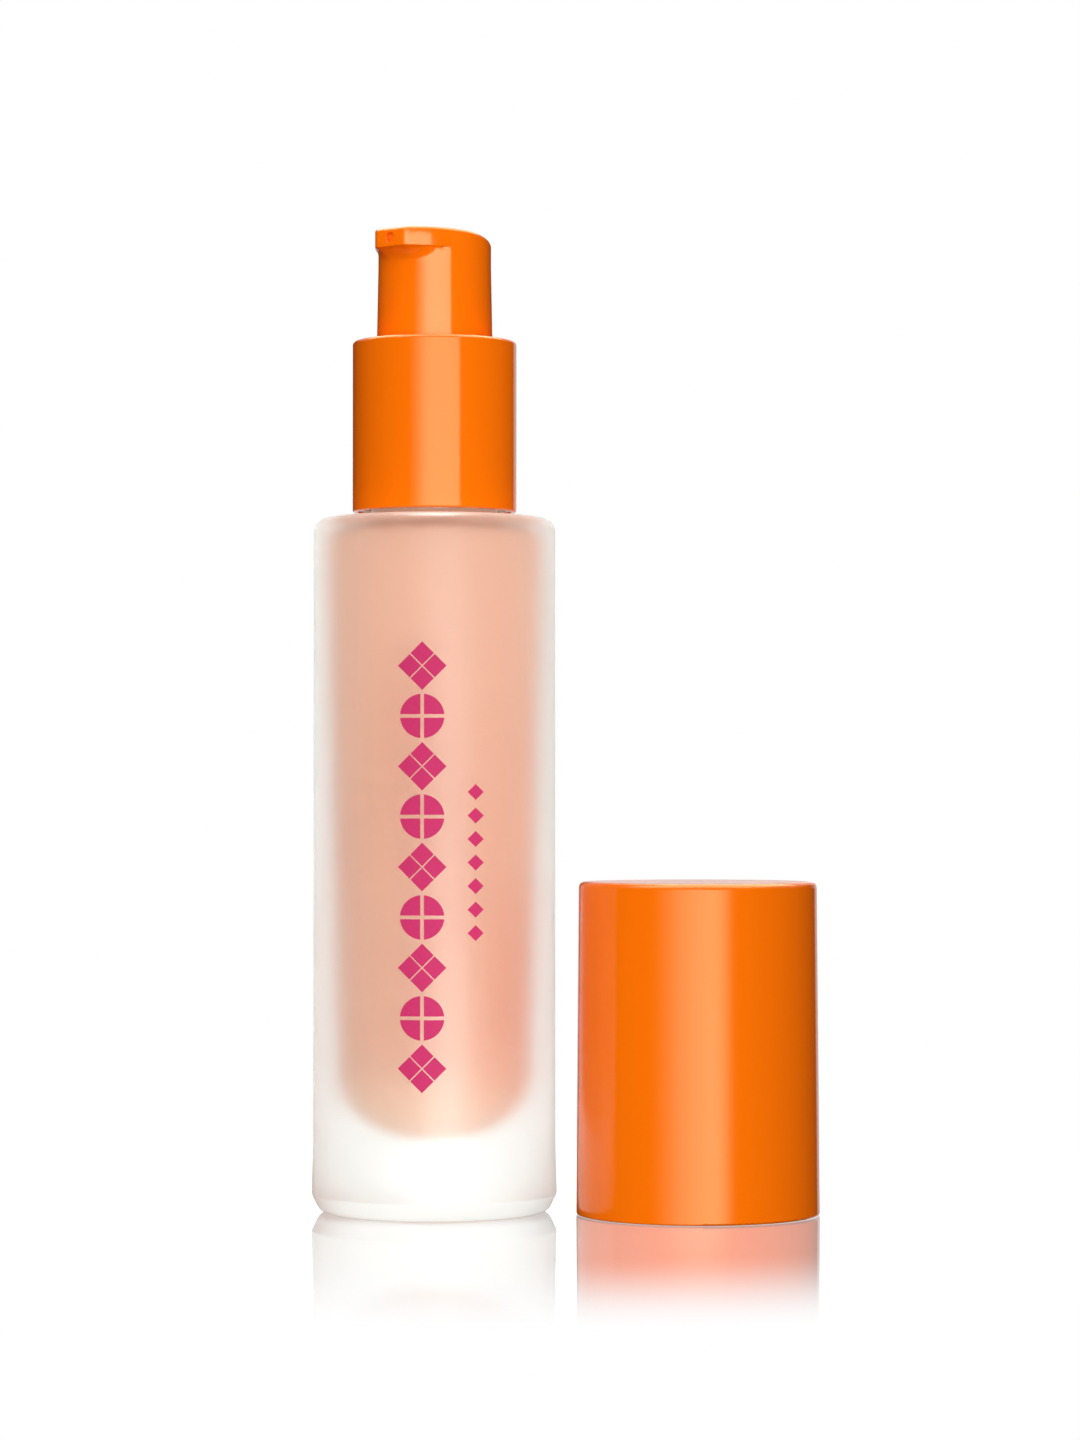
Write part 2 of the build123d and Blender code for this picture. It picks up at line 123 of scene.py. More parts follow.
# Pump head
BUTTON_FOOT_RADIUS = 8.2 * MM
BUTTON_RADIUS = 7.95 * MM
SNOUT_TURN = math.radians(36.5)
SNOUT_REACH = 10.2 * MM
SNOUT_HALF_WIDTH = 2.65 * MM
SNOUT_CORNER = 1.3 * MM
FLANK_BULGE = 0.2 * MM
LIP_BOTTOM = 134.7 * MM
SCOOP_BOTTOM = 132.6 * MM
CAMBER_RADIUS = 42.0 * MM
CAMBER_PEAK = 6.4 * MM
RIM_ROUNDING = 0.5 * MM
LIP_ROUNDING = 0.22 * MM
SCOOP_POWER = 2.2
HEAD_FOOT_CHAMFER = 0.15 * MM
CROWN_SHARES = (0.94, 0.86, 0.72, 0.54, 0.36, 0.18)
HEAD_WALL = 1.1 * MM
HEAD_ROOF = 132.4 * MM
POST_RADIUS = 3.7 * MM
POST_RISE = 0.3 * MM
SOCKET_RADIUS = 2.55 * MM
SOCKET_TOP = 124.7 * MM
OUTLET_RADIUS = 0.72 * MM
OUTLET_HEIGHT = 136.0 * MM
OUTLET_DEPTH = 0.9 * MM
OUTLET_BEVEL = 0.04 * MM

# Return spring
WIRE_RADIUS = 0.35 * MM
SPRING_TURNS = 6

# Camera, where the curves of the rims put it
CAMERA_PLACE = (0.01485, -0.571, 0.0577)
CAMERA_TILT = math.radians(91.13)
LENS = 101.4
SENSOR = 36


# ---------------------------------------------------------------- mesh helpers
def arc(centre_r, centre_z, radius, start, end, steps=10):
    """Points of an arc in the (radius, height) plane, angles in degrees from the outward direction."""
    points = []
    for i in range(steps + 1):
        angle = math.radians(start + (end - start) * i / steps)
        points.append((centre_r + radius * math.cos(angle), centre_z + radius * math.sin(angle)))
    return points


def smooth_faces(bm, smooth_angle=35):
    """Shade a mesh smoothly, but for the edges where its faces meet at the angle in degrees or more."""
    limit = math.radians(smooth_angle)
    for edge in bm.edges:
        edge.smooth = len(edge.link_faces) == 2 and edge.calc_face_angle(0.0) < limit
    for face in bm.faces:
        face.smooth = True


def mesh_object(name, bm, smooth_angle=35):
    """Make an object of a bmesh, smooth where its faces meet at less than the angle in degrees."""
    bmesh.ops.recalc_face_normals(bm, faces=bm.faces)
    smooth_faces(bm, smooth_angle)
    mesh = bpy.data.meshes.new(name)
    bm.to_mesh(mesh)
    bm.free()
    piece = bpy.data.objects.new(name, mesh)
    bpy.context.scene.collection.objects.link(piece)
    return piece


def skin(bm, rings):
    """Bridge each ring of vertices to the next, where a ring of one vertex is a pole."""
    for lower, upper in zip(rings, rings[1:]):
        count = max(len(lower), len(upper))
        for i in range(count):
            j = (i + 1) % count
            if len(lower) == 1:
                bm.faces.new((lower[0], upper[i], upper[j]))
            elif len(upper) == 1:
                bm.faces.new((lower[i], lower[j], upper[0]))
            else:
                bm.faces.new((lower[i], lower[j], upper[j], upper[i]))


def turned(bm, profile, segments=AROUND):
    """Add a solid turned about the bottle's axis from a profile of (radius, height) points."""
    rings = []
    for radius, height in profile:
        if radius < ON_AXIS:
            rings.append([bm.verts.new((0, 0, height))])
            continue
        ring = []
        for i in range(segments):
            angle = 2 * math.pi * i / segments
            ring.append(bm.verts.new((radius * math.cos(angle), radius * math.sin(angle), height)))
        rings.append(ring)
    if len(rings[0]) > 1:
        rings.append(rings[0])
    skin(bm, rings)


def coil(bm, section, start, pitch, turns, steps_per_turn=96):
    """Add a section of (radius, height) points swept up a right-hand helix that starts at +X."""
    steps = int(steps_per_turn * turns)
    rings = []
    for i in range(steps + 1):
        turn = turns * i / steps
        angle = 2 * math.pi * turn
        rise = start + pitch * turn
        outward = (math.cos(angle), math.sin(angle))
        rings.append([bm.verts.new((r * outward[0], r * outward[1], rise + z)) for r, z in section])
    skin(bm, rings)
    bm.faces.new(rings[0])
    bm.faces.new(rings[-1])


# ---------------------------------------------------------------- material helpers
def linear(red, green, blue):
    """A screen colour of 0 to 255 as linear numbers."""
    values = []
    for channel in (red, green, blue):
        c = channel / 255
        values.append(c / 12.92 if c <= 0.04045 else ((c + 0.055) / 1.055) ** 2.4)
    return (*values, 1.0)


def smooth_range(nodes, links, value, low, high, first, last):
    """A value taken smoothly from first to last as the input goes from low to high."""
    span = nodes.new("ShaderNodeMapRange")
    span.interpolation_type = "SMOOTHSTEP"
    span.inputs["From Min"].default_value = low
    span.inputs["From Max"].default_value = high
    span.inputs["To Min"].default_value = first
    if isinstance(last, float):
        span.inputs["To Max"].default_value = last
    else:
        links.new(last, span.inputs["To Max"])
    links.new(value, span.inputs["Value"])
    return span.outputs["Result"]


# Noise lies mostly between these two values
NOISE_LOW = 0.3
NOISE_HIGH = 0.7


class Surface:
    """A Principled material with helpers for the procedural detail that each one has."""

    def __init__(self, name, **settings):
        self.material = bpy.data.materials.new(name)
        self.material.use_nodes = True
        self.nodes = self.material.node_tree.nodes
        self.links = self.material.node_tree.links
        self.shader = self.nodes["Principled BSDF"]
        for socket, value in settings.items():
            self.shader.inputs[socket.replace("_", " ")].default_value = value
        coordinates = self.nodes.new("ShaderNodeTexCoord")
        self.place = coordinates.outputs["Object"]

    def noise(self, scale, detail=3.0, stretch=(1, 1, 1)):
        """Noise over the object, scale in cells per metre, stretched along an axis by less than 1."""
        mapping = self.nodes.new("ShaderNodeMapping")
        mapping.inputs["Scale"].default_value = stretch
        self.links.new(self.place, mapping.inputs["Vector"])
        texture = self.nodes.new("ShaderNodeTexNoise")
        texture.inputs["Scale"].default_value = scale
        texture.inputs["Detail"].default_value = detail
        self.links.new(mapping.outputs["Vector"], texture.inputs["Vector"])
        return texture.outputs["Fac"]

    def colours(self, factor, first, second):
        """Base colour that runs from first to second with a factor."""
        ramp = self.nodes.new("ShaderNodeValToRGB")
        ramp.color_ramp.elements[0].position = NOISE_LOW
        ramp.color_ramp.elements[0].color = first
        ramp.color_ramp.elements[1].position = NOISE_HIGH
        ramp.color_ramp.elements[1].color = second
        self.links.new(factor, ramp.inputs["Fac"])
        self.links.new(ramp.outputs["Color"], self.shader.inputs["Base Color"])

    def paint_light_below(self, top, foot, share, colour):
        """Painted light: blend the base colour into a paler one, from none at the top height to a share at
        the foot.
        """
        split = self.nodes.new("ShaderNodeSeparateXYZ")
        self.links.new(self.place, split.inputs[0])
        painted_light_share = smooth_range(self.nodes, self.links, split.outputs["Z"], top, foot, 0.0, share)
        mix = self.nodes.new("ShaderNodeMix")
        mix.data_type = "RGBA"
        self.links.new(painted_light_share, mix.inputs["Factor"])
        self.links.new(self.shader.inputs["Base Color"].links[0].from_socket, mix.inputs["A"])
        mix.inputs["B"].default_value = colour
        self.links.new(mix.outputs["Result"], self.shader.inputs["Base Color"])

    def roughness(self, factor, low, high):
        """Roughness between low and high with a factor."""
        span = self.nodes.new("ShaderNodeMapRange")
        span.inputs["From Min"].default_value = NOISE_LOW
        span.inputs["From Max"].default_value = NOISE_HIGH
        span.inputs["To Min"].default_value = low
        span.inputs["To Max"].default_value = high
        self.links.new(factor, span.inputs["Value"])
        self.links.new(span.outputs["Result"], self.shader.inputs["Roughness"])

    def bump(self, factor, height, strength=1.0):
        """Relief of a real height in metres."""
        node = self.nodes.new("ShaderNodeBump")
        node.inputs["Strength"].default_value = strength
        node.inputs["Distance"].default_value = height
        self.links.new(factor, node.inputs["Height"])
        self.links.new(node.outputs["Normal"], self.shader.inputs["Normal"])


def dress(piece, surface):
    """Give a piece one material."""
    piece.data.materials.clear()
    piece.data.materials.append(surface.material)


# ---------------------------------------------------------------- materials
def orange_moulding():
    """Glossy orange plastic with faint flow streaks up the moulding and a trace of orange peel."""
    s = Surface("orange_moulding", IOR=1.36)
    s.colours(s.noise(60, stretch=(1, 1, 0.08)), linear(243, 107, 2), linear(246, 110, 3))
    s.roughness(s.noise(900), 0.09, 0.14)
    s.bump(s.noise(1800, detail=1.0), 0.004 * MM, 0.5)
    return s


def frosted_glass():
    """Acid-etched glass: clear through its thickness, with a fine even grain on the outside."""
    s = Surface("etched_glass", Base_Color=linear(251, 251, 247), IOR=1.45, Transmission_Weight=1.0)
    s.roughness(s.noise(700), 0.39, 0.44)
    s.bump(s.noise(9000, detail=2.0), 0.004 * MM, 0.4)
    return s


def makeup():
    """Skin-toned liquid make-up against the glass, with slow swirls of pigment; paler at its foot, which is
    painted light for light coming up through the glass base.
    """
    s = Surface("makeup", IOR=1.4)
    s.colours(s.noise(55, detail=4.0, stretch=(1, 1, 0.4)), linear(242, 184, 159), linear(249, 196, 171))
    # Painted light: the make-up grows paler towards its foot, where light comes up through the glass base
    s.paint_light_below(PAINTED_LIGHT_TOP, CAVITY_FLOOR, share=0.4, colour=linear(255, 234, 210))
    s.roughness(s.noise(300), 0.35, 0.5)
    s.bump(s.noise(400), 0.02 * MM, 0.3)
    return s


def ink():
    """Magenta screen-printed ink, slightly raised, with the grain of the screen."""
    s = Surface("printed_ink", IOR=1.5)
    s.colours(s.noise(2500), linear(180, 42, 91), linear(186, 46, 96))
    s.roughness(s.noise(5000), 0.38, 0.5)
    s.bump(s.noise(7000, detail=1.0), 0.003 * MM, 0.5)
    return s


def white_moulding():
    """White polypropylene with a dull mould finish."""
    s = Surface("white_moulding", Subsurface_Weight=0.1, Subsurface_Scale=0.5 * MM)
    s.colours(s.noise(250), linear(232, 230, 224), linear(240, 238, 233))
    s.roughness(s.noise(1500), 0.38, 0.5)
    s.bump(s.noise(5000), 0.006 * MM, 0.4)
    return s


def natural_moulding():
    """Uncoloured polypropylene, milky where it is thick."""
    s = Surface("natural_moulding", Subsurface_Weight=0.35, Subsurface_Scale=1.0 * MM)
    s.colours(s.noise(300), linear(222, 222, 214), linear(232, 232, 226))
    s.roughness(s.noise(1800), 0.28, 0.4)
    s.bump(s.noise(4000), 0.004 * MM, 0.4)
    return s


def tubing():
    """Extruded polyethylene with fine lines along its length."""
    s = Surface("tubing", Subsurface_Weight=0.4, Subsurface_Scale=0.6 * MM)
    s.colours(s.noise(1500, stretch=(1, 1, 0.02)), linear(222, 222, 218), linear(234, 234, 230))
    s.roughness(s.noise(2500, stretch=(1, 1, 0.02)), 0.22, 0.36)
    s.bump(s.noise(3000, stretch=(1, 1, 0.01)), 0.01 * MM, 0.4)
    return s


def foam():
    """White closed-cell foam."""
    s = Surface("foam")
    s.colours(s.noise(4000), linear(226, 226, 222), linear(242, 242, 239))
    s.roughness(s.noise(3000), 0.75, 0.92)
    s.bump(s.noise(5000, detail=4.0), 0.05 * MM, 0.8)
    return s


def spring_wire():
    """Drawn stainless wire."""
    s = Surface("spring_wire", Metallic=1.0)
    s.colours(s.noise(2500), linear(196, 196, 194), linear(212, 212, 211))
    s.roughness(s.noise(3500), 0.18, 0.3)
    s.bump(s.noise(6000), 0.003 * MM, 0.4)
    return s


def ball_steel():
    """Polished stainless steel."""
    s = Surface("ball_steel", Metallic=1.0)
    s.colours(s.noise(1200), linear(214, 214, 213), linear(224, 224, 224))
    s.roughness(s.noise(3000), 0.05, 0.1)
    s.bump(s.noise(4000), 0.001 * MM, 0.3)
    return s


# ---------------------------------------------------------------- bottle
def cavity_outline(skin_depth):
    """The cavity's wall from the neck down to the middle of its floor, a skin's depth outside it."""
    shoulder = CAVITY_SHOULDER_RADIUS + skin_depth
    foot = CAVITY_FOOT_RADIUS + skin_depth
    floor = CAVITY_FLOOR - skin_depth
    slope = math.degrees(math.atan2(CAVITY_ROOF - CAVITY_SHOULDER, CAVITY_SHOULDER_RADIUS - NECK_BORE))
    tangent = CAVITY_SHOULDER_ROUNDING * math.tan(math.radians(90 - slope) / 2)
    points = [(NECK_BORE + skin_depth, CAVITY_ROOF)]
    points += arc(shoulder - CAVITY_SHOULDER_ROUNDING, CAVITY_SHOULDER - tangent, CAVITY_SHOULDER_ROUNDING,
                  90 - slope, 0, 10)
    points += arc(foot - CAVITY_FOOT_ROUNDING, floor + CAVITY_FOOT_ROUNDING, CAVITY_FOOT_ROUNDING, 0, -90, 24)
    points.append((0, floor))
    return points


def glass_profile():
    """The bottle's section: out along the foot, up the outside to the lip, down the inside."""
    foot_lean = math.degrees(math.atan2(FOOT_RISE, HEEL_RADIUS - FOOT_RADIUS))
    foot_tangent = FOOT_ROUNDING * math.tan(math.radians(foot_lean / 2))
    edge_tangent = EDGE_ROUNDING * math.tan(math.radians((90 - foot_lean) / 2))
    flare_foot = FOOT_RISE + edge_tangent
    flare_steps = 8
    wall_heights = (20 * MM, 40 * MM, 60 * MM, 80 * MM)
    points = [(0, PUSH_UP), (PUSH_UP_MIDDLE, PUSH_UP), (PUSH_UP_RADIUS, PUSH_UP)]
    points += arc(FOOT_RING_INNER_RADIUS, FOOT_RING_ROUNDING, FOOT_RING_ROUNDING, 210, 270, 4)
    points += arc(FOOT_RADIUS - foot_tangent, FOOT_ROUNDING, FOOT_ROUNDING, -90, foot_lean - 90, 10)
    points += arc(HEEL_RADIUS - EDGE_ROUNDING, flare_foot, EDGE_ROUNDING, foot_lean - 90, 0, 5)
    for i in range(1, flare_steps + 1):
        ease = 0.5 - 0.5 * math.cos(math.pi * i / flare_steps)
        points.append((HEEL_RADIUS + (BODY_RADIUS - HEEL_RADIUS) * ease,
                       flare_foot + FLARE_RISE * i / flare_steps))
    points += [(BODY_RADIUS, height) for height in wall_heights]
    points += arc(BODY_RADIUS - SHOULDER_ROUNDING, SHOULDER - SHOULDER_ROUNDING, SHOULDER_ROUNDING, 0, 90, 12)
    points += arc(NECK_RADIUS + NECK_FILLET, SHOULDER + NECK_FILLET, NECK_FILLET, 270, 180, 4)
    lip_height = NECK_TOP - NECK_LIP_ROUNDING
    points += arc(NECK_RADIUS - NECK_LIP_ROUNDING, lip_height, NECK_LIP_ROUNDING, 0, 90, 4)
    points += arc(NECK_BORE + NECK_LIP_ROUNDING, lip_height, NECK_LIP_ROUNDING, 90, 180, 4)
    points += cavity_outline(0)
    return points


def make_bottle():
    """The glass, with its screw thread."""
    bm = bmesh.new()
    turned(bm, glass_profile())
    crest = THREAD_CREST - THREAD_CREST_ROUNDING
    ridge = [(THREAD_ROOT, -THREAD_HALF_ROOT), (crest, -THREAD_HALF_CREST)]
    ridge += arc(crest, 0, THREAD_CREST_ROUNDING, -60, 60, 4)
    ridge += [(crest, THREAD_HALF_CREST), (THREAD_ROOT, THREAD_HALF_ROOT)]
    coil(bm, ridge, THREAD_START, THREAD_PITCH, THREAD_TURNS)
    bottle = mesh_object("frosted_bottle", bm)
    dress(bottle, frosted_glass())
    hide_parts("bottle_glass")
    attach(bottle, "bottle")
    return bottle


def make_liquid():
    """The make-up: it wets the glass, and is open round the pump and the dip tube."""
    wet = list(reversed(cavity_outline(FILM)))
    wet.append((NECK_BORE + FILM, FILL_LEVEL))
    inside = [(PUMP_CLEAR, FILL_LEVEL), (PUMP_CLEAR, PUMP_CLEAR_FOOT)]
    inside += [(SOCKET_CLEAR, SOCKET_CLEAR_TOP), (SOCKET_CLEAR, SOCKET_CLEAR_FOOT)]
    inside += [(TUBE_CLEAR, SOCKET_CLEAR_FOOT), (TUBE_CLEAR, TUBE_CLEAR_FOOT), (0, TUBE_CLEAR_FOOT)]
    bm = bmesh.new()
    turned(bm, wet + inside)
    liquid = mesh_object("liquid_makeup", bm)
    dress(liquid, makeup())
    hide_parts("foundation_fill")
    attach(liquid, "bottle")
    return liquid


# ---------------------------------------------------------------- pump
def plan_radius(angle):
    """Radius of the head's outline, at an angle in radians from the snout's direction."""
    corner_distance = math.hypot(SNOUT_HALF_WIDTH, SNOUT_REACH)
    tangent = math.atan2(SNOUT_HALF_WIDTH, SNOUT_REACH) + math.acos(BUTTON_RADIUS / corner_distance)
    along = SNOUT_REACH - SNOUT_CORNER
    across = (BUTTON_RADIUS - SNOUT_CORNER - along * math.cos(tangent)) / math.sin(tangent)
    turn = abs(math.remainder(angle, 2 * math.pi))
    tip_end = math.atan2(across, SNOUT_REACH)
    flank_start = math.atan2(across + SNOUT_CORNER * math.sin(tangent),
                             along + SNOUT_CORNER * math.cos(tangent))
    if turn >= tangent:
        return BUTTON_RADIUS
    if turn >= flank_start:
        bulge = FLANK_BULGE * math.sin(math.pi * (tangent - turn) / (tangent - flank_start))
        return BUTTON_RADIUS / math.cos(tangent - turn) + bulge
    if turn <= tip_end:
        return SNOUT_REACH / math.cos(turn)
    toward = across * math.sin(turn) + along * math.cos(turn)
    return toward + math.sqrt(SNOUT_CORNER**2 - (across**2 + along**2 - toward**2))


def camber(along):
    """Height of the head's top at a distance along the snout."""
    return HEAD_TOP - CAMBER_RADIUS + math.sqrt(CAMBER_RADIUS**2 - (along - CAMBER_PEAK) ** 2)


def head_column(angle):
    """(radius, height) points up one side of the head, from its foot to the edge of its top."""
    radius = plan_radius(angle)
    overhang = radius - BUTTON_RADIUS
    points = [(BUTTON_FOOT_RADIUS - HEAD_FOOT_CHAMFER, HEAD_FOOT)]
    points.append((BUTTON_FOOT_RADIUS, HEAD_FOOT + HEAD_FOOT_CHAMFER))
    points.append((BUTTON_RADIUS, SCOOP_BOTTOM))
    scoop_steps = 10
    rounding = LIP_ROUNDING * min(1.0, overhang / LIP_ROUNDING)
    for i in range(1, scoop_steps + 1):
        rise = i / scoop_steps
        points.append((BUTTON_RADIUS + (overhang - rounding) * rise**SCOOP_POWER,
                       SCOOP_BOTTOM + (LIP_BOTTOM - SCOOP_BOTTOM) * rise))
    points += arc(radius - rounding, LIP_BOTTOM + LIP_ROUNDING, rounding, -60, 0, 4)
    top = camber((radius - RIM_ROUNDING) * math.cos(angle))
    points.append((radius, (LIP_BOTTOM + top) / 2))
    points += arc(radius - RIM_ROUNDING, top - RIM_ROUNDING, RIM_ROUNDING, 0, 84, 8)
    return points


def make_head():
    """The button with its snout: cambered top, scooped underside, hollow skirt and central post."""
    segments = 288
    skirt = BUTTON_FOOT_RADIUS - HEAD_WALL
    post_foot = HEAD_FOOT + POST_RISE
    inside = [(skirt, HEAD_FOOT), (skirt, HEAD_ROOF), (POST_RADIUS, HEAD_ROOF)]
    inside += [(POST_RADIUS, post_foot), (SOCKET_RADIUS, post_foot), (SOCKET_RADIUS, SOCKET_TOP)]
    bm = bmesh.new()
    columns = []
    for i in range(segments):
        angle = 2 * math.pi * i / segments
        across = math.sin(angle)
        along = math.cos(angle)
        edge = plan_radius(angle) - RIM_ROUNDING
        column = list(reversed(inside)) + head_column(angle)
        column += [(edge * share, camber(edge * share * along)) for share in CROWN_SHARES]
        direction = (across * math.cos(SNOUT_TURN) - along * math.sin(SNOUT_TURN),
                     -across * math.sin(SNOUT_TURN) - along * math.cos(SNOUT_TURN))
        columns.append([bm.verts.new((r * direction[0], r * direction[1], z)) for r, z in column])
    rings = [[bm.verts.new((0, 0, SOCKET_TOP))]]
    rings += [[column[k] for column in columns] for k in range(len(columns[0]))]
    rings.append([bm.verts.new((0, 0, camber(0)))])
    skin(bm, rings)
    head = mesh_object("pump_head", bm)
    drill_outlet(head)
    dress(head, orange)
    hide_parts("actuator")
    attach(head, "head")
    return head


def drill_outlet(head):
    """Cut the outlet into the snout's end, with a countersunk edge and a flat bottom."""
    mouth = OUTLET_RADIUS + OUTLET_BEVEL
    profile = [(0, SNOUT_REACH - OUTLET_DEPTH), (OUTLET_RADIUS, SNOUT_REACH - OUTLET_DEPTH)]
    profile += [(OUTLET_RADIUS, SNOUT_REACH - OUTLET_BEVEL), (mouth, SNOUT_REACH)]
    profile += [(mouth, SNOUT_REACH + OUTLET_DEPTH), (0, SNOUT_REACH + OUTLET_DEPTH)]
    bm = bmesh.new()
    turned(bm, profile, segments=48)
    cutter = mesh_object("outlet_cutter", bm)
    lying = Matrix.Rotation(math.radians(90), 4, "X")
    along_snout = Matrix.Rotation(-SNOUT_TURN, 4, "Z")
    cutter.matrix_world = Matrix.Translation((0, 0, OUTLET_HEIGHT)) @ along_snout @ lying
    cut = head.modifiers.new("outlet", "BOOLEAN")
    cut.operation = "DIFFERENCE"
    cut.solver = "EXACT"
    cut.object = cutter
    bpy.context.view_layer.update()
    drilled = bpy.data.meshes.new_from_object(head.evaluated_get(bpy.context.evaluated_depsgraph_get()))
    head.modifiers.clear()
    bpy.data.objects.remove(cutter)
    bm = bmesh.new()
    bm.from_mesh(drilled)
    smooth_faces(bm)
    bm.to_mesh(head.data)
    bm.free()


def make_spring():
    """The return spring, an open coil of even pitch."""
    start = SPRING_FOOT + WIRE_RADIUS
    pitch = (SPRING_TOP - SPRING_FOOT - 2 * WIRE_RADIUS) / SPRING_TURNS
    section = arc(SPRING_RADIUS - WIRE_RADIUS, 0, WIRE_RADIUS, 0, 330, 11)
    bm = bmesh.new()
    coil(bm, section, start, pitch, SPRING_TURNS, steps_per_turn=72)
    spring = mesh_object("coil_spring", bm, smooth_angle=60)
    dress(spring, spring_wire())
    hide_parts("return_spring")
    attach(spring, "pump_engine")
    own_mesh(spring)
    return spring


# ---------------------------------------------------------------- pieces
orange = orange_moulding()
pump_head = make_head()
bottle = make_bottle()
liquid = make_liquid()
pale_pieces = [bottle, liquid, make_spring()]
for node in ("collar_sleeve", "overcap_shell"):
    dress(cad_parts[node], orange)
shaded_nodes = ("collar_sleeve", "overcap_shell", "overcap_liner")
pale_pieces += [piece for node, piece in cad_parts.items() if node not in shaded_nodes]
dress(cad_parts["printed_motif"], ink())
white = white_moulding()
for node in ("screw_closure", "overcap_liner"):
    dress(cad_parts[node], white)
natural = natural_moulding()
for node in ("pump_housing", "retaining_ring", "ball_retainer", "lower_stem", "upper_stem", "piston"):
    dress(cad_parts[node], natural)
dress(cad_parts["dip_tube"], tubing())
dress(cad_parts["neck_gasket"], foam())
dress(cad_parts["inlet_ball"], ball_steel())


# ---------------------------------------------------------------- stage
def pick(nodes, links, switch, off, on):
    """The value off where a switch is 0 and on where it is 1."""
    mix = nodes.new("ShaderNodeMix")
    mix.data_type = "FLOAT"
    links.new(switch, mix.inputs["Factor"])
    for socket, value in ((mix.inputs["A"], off), (mix.inputs["B"], on)):
        if isinstance(value, float):
            socket.default_value = value
        else:
            links.new(value, socket)
    return mix.outputs["Result"]


def brighter(nodes, links, one, other):
    """The larger of two values."""
    larger = nodes.new("ShaderNodeMath")
    larger.operation = "MAXIMUM"
    links.new(one, larger.inputs[0])
    links.new(other, larger.inputs[1])
    return larger.outputs["Value"]


def make_floor():
    """A plain white floor just under the object, which mirrors it softly near its foot."""
    place_under = (0, 0, -0.05 * MM)
    bpy.ops.mesh.primitive_circle_add(vertices=96, radius=6.0, fill_type="NGON", location=place_under)
    floor = bpy.context.object
    floor.name = "floor"
    floor.visible_glossy = False
    floor.visible_diffuse = False
    floor.visible_shadow = False
    material = bpy.data.materials.new("floor")
    material.use_nodes = True
    nodes = material.node_tree.nodes
    links = material.node_tree.links
    nodes.clear()
    output = nodes.new("ShaderNodeOutputMaterial")
    plain = nodes.new("ShaderNodeEmission")
    plain.inputs["Color"].default_value = (1, 1, 1, 1)
    plain.inputs["Strength"].default_value = 1.0
    gloss = nodes.new("ShaderNodeBsdfGlossy")
    gloss.inputs["Color"].default_value = (1, 1, 1, 1)
    gloss.inputs["Roughness"].default_value = 0.04
    place = nodes.new("ShaderNodeTexCoord")
    offset = nodes.new("ShaderNodeVectorMath")
    offset.operation = "SUBTRACT"
    offset.inputs[1].default_value = (centre_of("overcap_shell")[0] / 2, 0, 0)
    links.new(place.outputs["Object"], offset.inputs[0])
    reach = nodes.new("ShaderNodeVectorMath")
    reach.operation = "LENGTH"
    links.new(offset.outputs["Vector"], reach.inputs[0])
    near = smooth_range(nodes, links, reach.outputs["Value"], 57 * MM, 128 * MM, first=0.82, last=0.0)
    slant = nodes.new("ShaderNodeLayerWeight")
    slant.inputs["Blend"].default_value = 0.5
    share = nodes.new("ShaderNodeMath")
    share.operation = "MULTIPLY"
    links.new(near, share.inputs[0])
    links.new(slant.outputs["Facing"], share.inputs[1])
    mix = nodes.new("ShaderNodeMixShader")
    links.new(share.outputs["Value"], mix.inputs["Fac"])
    links.new(plain.outputs["Emission"], mix.inputs[1])
    links.new(gloss.outputs["BSDF"], mix.inputs[2])
    links.new(mix.outputs["Shader"], output.inputs["Surface"])
    floor.data.materials.append(material)
    return floor


def make_world():
    """A studio that is white in view, pale through glass, and dark with white cards in mirrors."""
    world = bpy.data.worlds.new("studio")
    bpy.context.scene.world = world
    world.use_nodes = True
    nodes = world.node_tree.nodes
    links = world.node_tree.links
    background = nodes["Background"]
    background.inputs["Color"].default_value = (1, 1, 1, 1)
    rays = nodes.new("ShaderNodeLightPath")
    place = nodes.new("ShaderNodeTexCoord")
    split = nodes.new("ShaderNodeSeparateXYZ")
    links.new(place.outputs["Generated"], split.inputs[0])
    back = split.outputs["Y"]
    height = split.outputs["Z"]
    dark = 0.015
    backdrop_level = smooth_range(nodes, links, height, 0.03, 0.1, first=0.85, last=0.5)
    backdrop = smooth_range(nodes, links, back, 0.965, 0.99, first=dark, last=backdrop_level)
    ceiling = smooth_range(nodes, links, height, 0.25, 0.5, first=dark, last=1.0)
    mirrored = brighter(nodes, links, backdrop, ceiling)
    from_behind = smooth_range(nodes, links, back, -0.3, 0.5, first=0.5, last=1.05)
    from_above = smooth_range(nodes, links, height, 0.4, 0.9, first=0.5, last=1.2)
    through_glass = brighter(nodes, links, from_behind, from_above)
    from_sky = smooth_range(nodes, links, height, 0.2, 0.8, first=0.2, last=1.1)
    level = pick(nodes, links, rays.outputs["Is Glossy Ray"], from_sky, mirrored)
    level = pick(nodes, links, rays.outputs["Is Transmission Ray"], level, through_glass)
    level = pick(nodes, links, rays.outputs["Is Camera Ray"], level, 1.0)
    links.new(level, background.inputs["Strength"])


def panel(name, location, tilt, turn, size, radiance, colour=(1, 1, 1)):
    """A soft rectangular light, tilted up from facing down and then turned about Z, in radians."""
    width, height = size
    light = bpy.data.lights.new(name, "AREA")
    light.shape = "RECTANGLE"
    light.size = width
    light.size_y = height
    light.energy = radiance * math.pi * width * height
    light.color = colour
    lamp = bpy.data.objects.new(name, light)
    bpy.context.scene.collection.objects.link(lamp)
    lamp.location = location
    lamp.rotation_euler = (tilt, 0, turn)
    lamp.visible_camera = False
    return lamp


